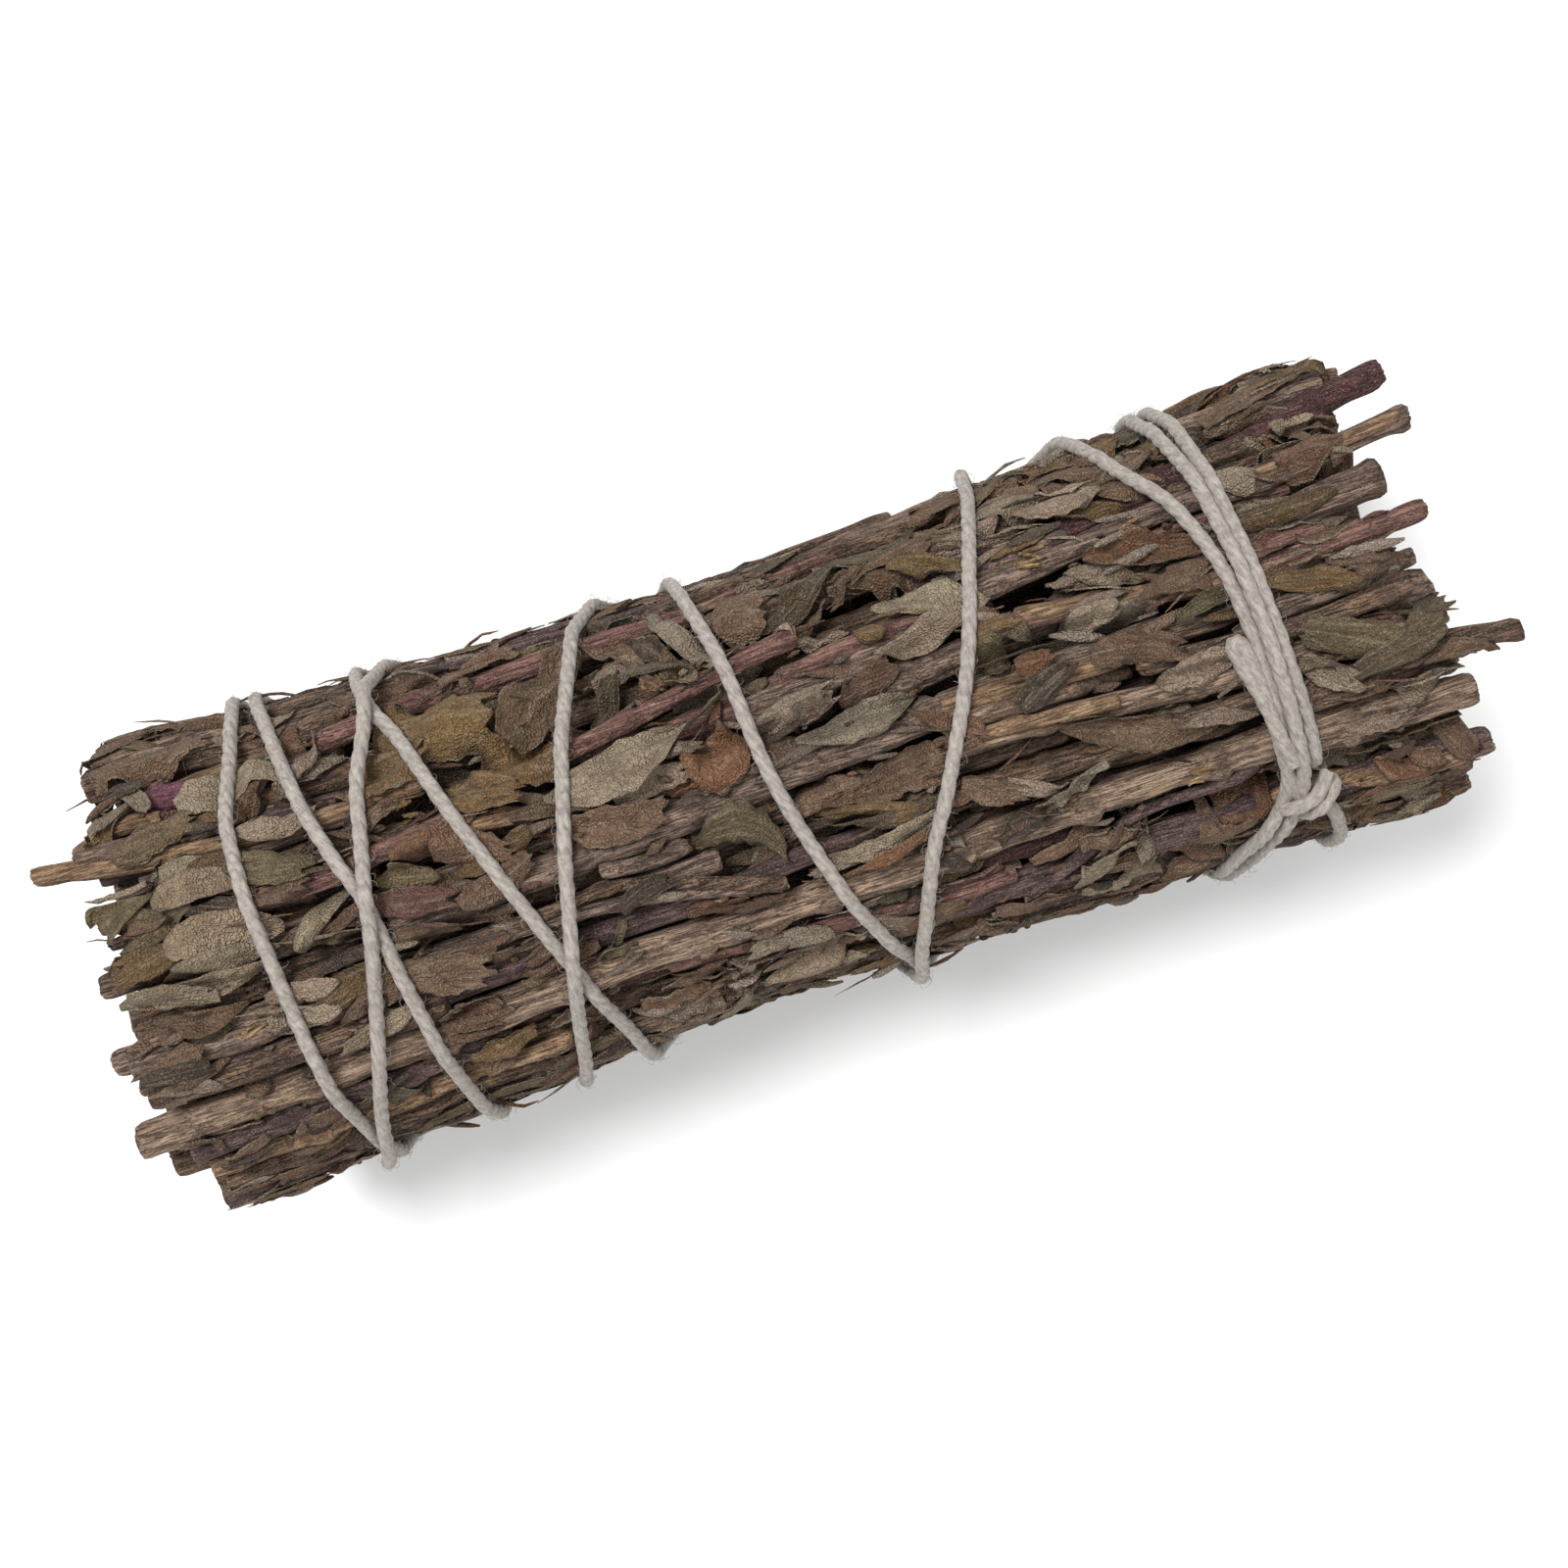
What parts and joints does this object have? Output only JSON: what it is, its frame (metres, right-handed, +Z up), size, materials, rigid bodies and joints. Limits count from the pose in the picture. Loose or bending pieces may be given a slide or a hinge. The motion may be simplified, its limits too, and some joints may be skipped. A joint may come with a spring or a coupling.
{
  "type": "bundle of dried sage",
  "caption": "Dried sage stems and leaves pressed side by side into a short thick stick, bound with cotton string wound in a criss-cross and knotted near one end.",
  "frame": {"origin": "middle of the bundle's length and width, on the surface that it lies on", "axes": "+X along the stems towards the knot, +Z up from the surface, +Y across the bundle"},
  "size_m": [0.1038, 0.0376, 0.0388],
  "materials": {
    "pale": "bare striated wood, matt",
    "grey": "rough bark, matt",
    "tan": "thin fibrous bark, matt",
    "pink": "smooth thin bark, slight sheen",
    "red": "smooth dark bark, slight sheen",
    "purple": "finely ridged bark, matt",
    "brown": "flaking bark, matt",
    "sage": "pebbled dry leaf, matt",
    "ochre": "pebbled dry leaf, matt",
    "olive": "pebbled dry leaf, matt",
    "umber": "pebbled dry leaf, matt",
    "cotton": "twisted plies with loose fuzz, matt"
  },
  "bodies": {
    "root": {"binding_string": "cotton", "leaf_ochre_broad": "ochre", "leaf_olive_curled": "olive", "leaf_sage_large": "sage", "leaf_sage_rounded": "sage", "leaf_taupe_long": "umber", "leaf_umber_pointed": "umber", "stem_brown_knot_end": "brown", "stem_brown_lower": "brown", "stem_brown_upper": "brown", "stem_covered_left": "brown", "stem_covered_upper": "brown", "stem_dark_cleft": "brown", "stem_far_01": "brown", "stem_far_02": "grey", "stem_far_03": "pale", "stem_far_04": "purple", "stem_far_05": "brown", "stem_far_06": "grey", "stem_far_07": "pale", "stem_far_08": "purple", "stem_far_09": "brown", "stem_far_10": "grey", "stem_far_11": "pale", "stem_far_12": "purple", "stem_frayed_end": "grey", "stem_grey_centre": "grey", "stem_grey_knot_end": "grey", "stem_grey_lower": "grey", "stem_grey_upper": "grey", "stem_inner_01": "grey", "stem_inner_02": "grey", "stem_inner_03": "pale", "stem_inner_04": "grey", "stem_inner_05": "grey", "stem_inner_06": "pale", "stem_inner_07": "grey", "stem_inner_08": "grey", "stem_inner_09": "pale", "stem_inner_10": "grey", "stem_inner_11": "grey", "stem_olive_left": "grey", "stem_pale_long": "pale", "stem_peeled": "pale", "stem_pink_proud": "pink", "stem_purple_lower": "purple", "stem_purple_thin": "purple", "stem_purple_under": "purple", "stem_rising_grey": "grey", "stem_rose_knotted": "pink", "stem_russet_lower": "red", "stem_umber_lower": "brown", "stem_umber_upper": "brown", "stem_wine_red": "red", "stub_knot_end": "brown", "twig_bowed": "grey", "twig_leafy_proud": "brown", "twig_pink_upper": "pink", "twig_rose_left": "pink", "twig_tan_proud": "tan"}
  },
  "joints": []
}
